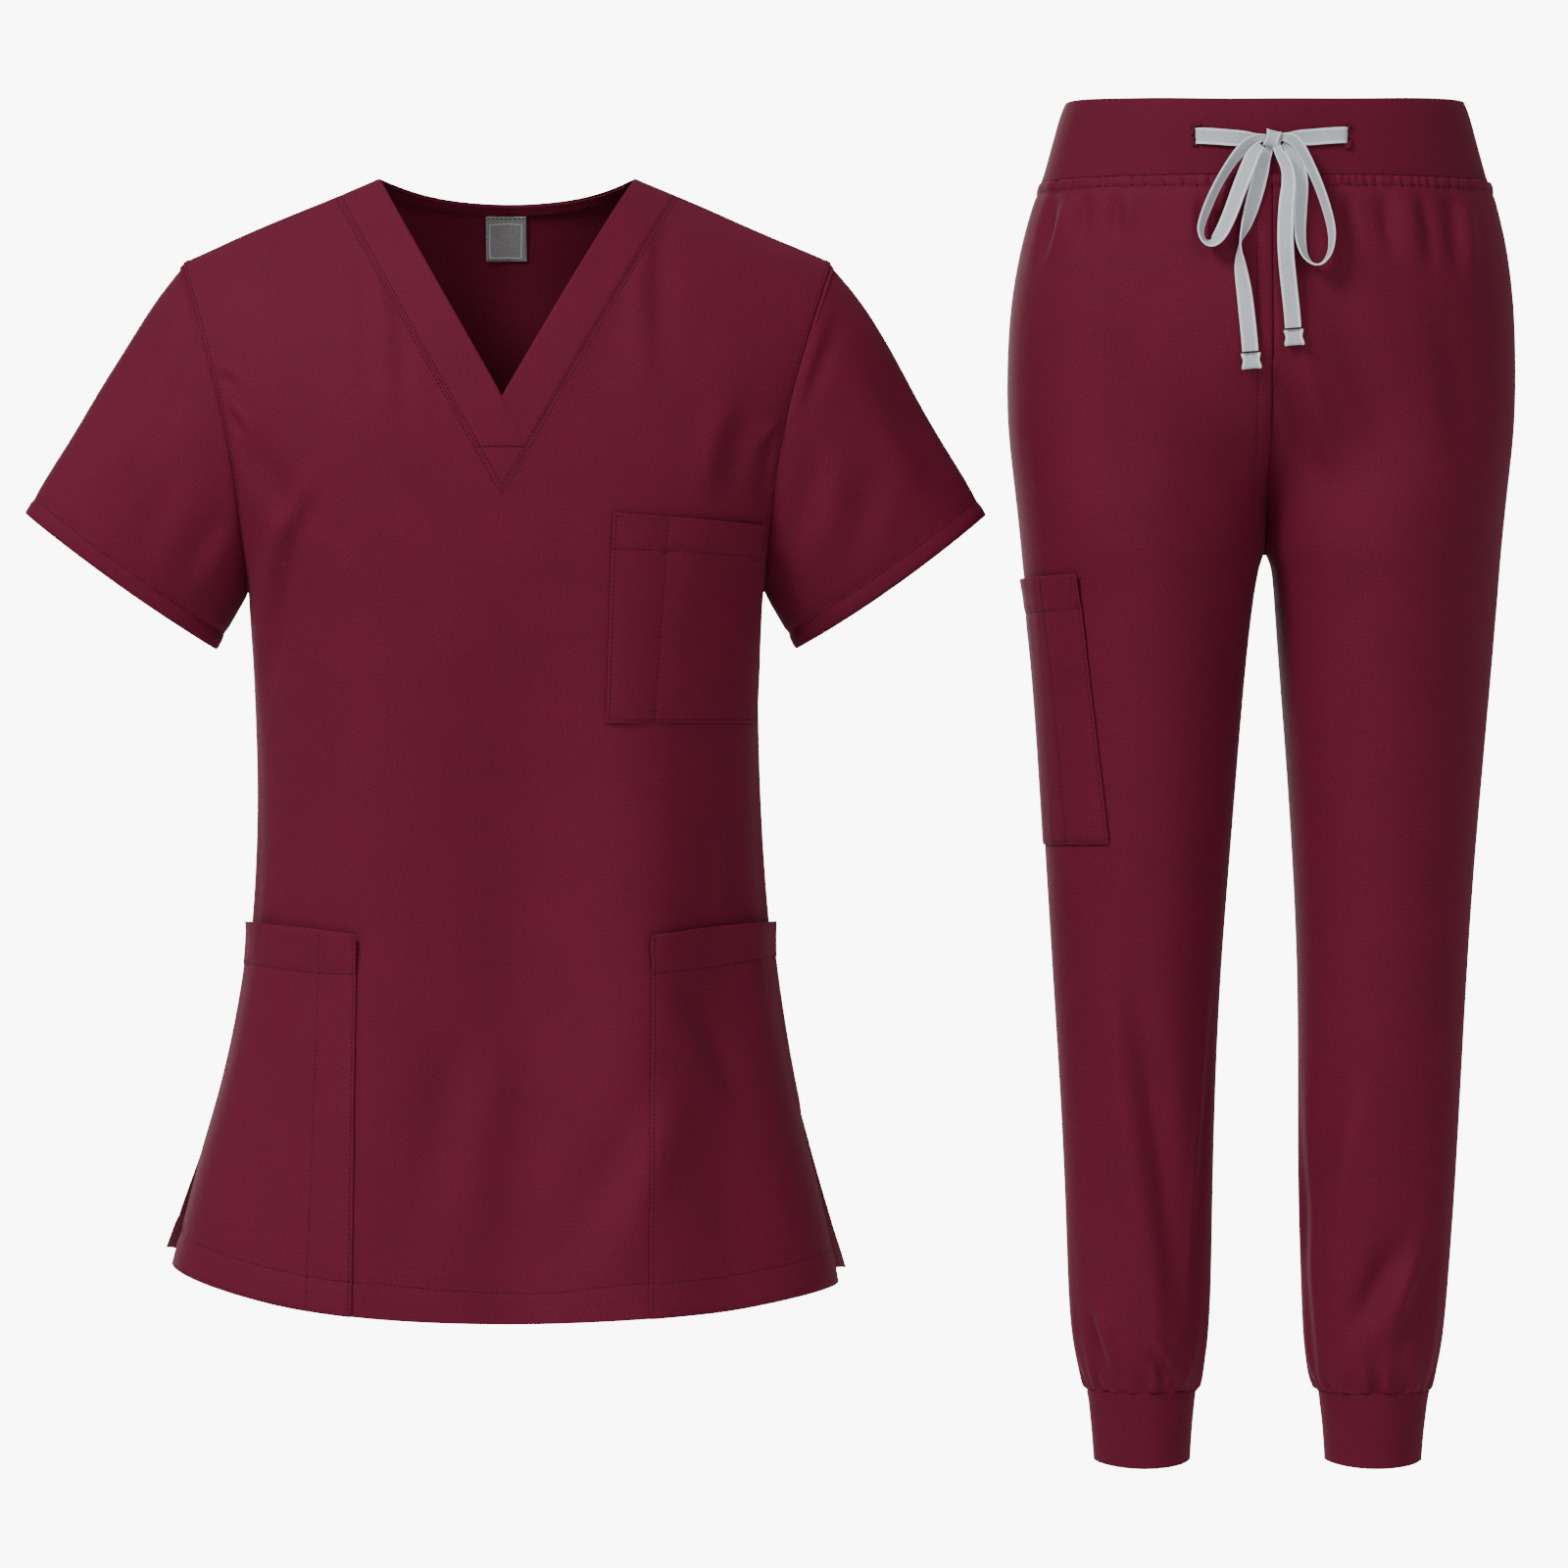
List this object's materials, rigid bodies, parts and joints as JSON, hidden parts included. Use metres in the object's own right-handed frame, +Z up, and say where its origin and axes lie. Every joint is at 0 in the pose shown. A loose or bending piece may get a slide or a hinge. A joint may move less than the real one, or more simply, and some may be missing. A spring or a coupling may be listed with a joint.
{
  "type": "medical scrubs",
  "caption": "Short-sleeved V-neck tunic with chest and hip pockets, beside jogger trousers with a waistband, tied drawstring, side pocket and cuffs. Both are hollow and filled out as if worn.",
  "frame": {"origin": "midway between the tunic's two shoulder points beside the neck, at their height, in the plane of its shoulder and side seams; the wearer's shoulders hold it there", "axes": "+Z up, the garments' fronts face -Y, and +X runs from the tunic towards the trousers beside it"},
  "size_m": [0.9741, 0.2594, 0.8888],
  "materials": {
    "poplin": "matt woven cloth, wine red",
    "knit": "matt knit, wine red",
    "string": "flat woven tape, pale grey",
    "label": "woven label, mid grey, bare"
  },
  "bodies": {
    "root": {"tunic_front": "poplin", "tunic_back": "poplin", "sleeve_left": "poplin", "sleeve_right": "poplin", "neckband_left": "poplin", "neckband_right": "poplin", "neck_tab": "poplin", "back_neck_tape": "poplin", "chest_pocket": "poplin", "hip_pocket_left": "poplin", "hip_pocket_right": "poplin", "trouser_front_left": "poplin", "trouser_front_right": "poplin", "trouser_back_left": "poplin", "trouser_back_right": "poplin", "cargo_pocket": "poplin", "waistband": "knit", "cuff_left": "knit", "cuff_right": "knit", "string_run_left": "string", "string_loop_left": "string", "string_tail_left": "string", "string_tip_left": "string", "string_knot": "string", "string_run_right": "string", "string_loop_right": "string", "string_tail_right": "string", "string_tip_right": "string", "neck_label": "label"}
  },
  "joints": []
}
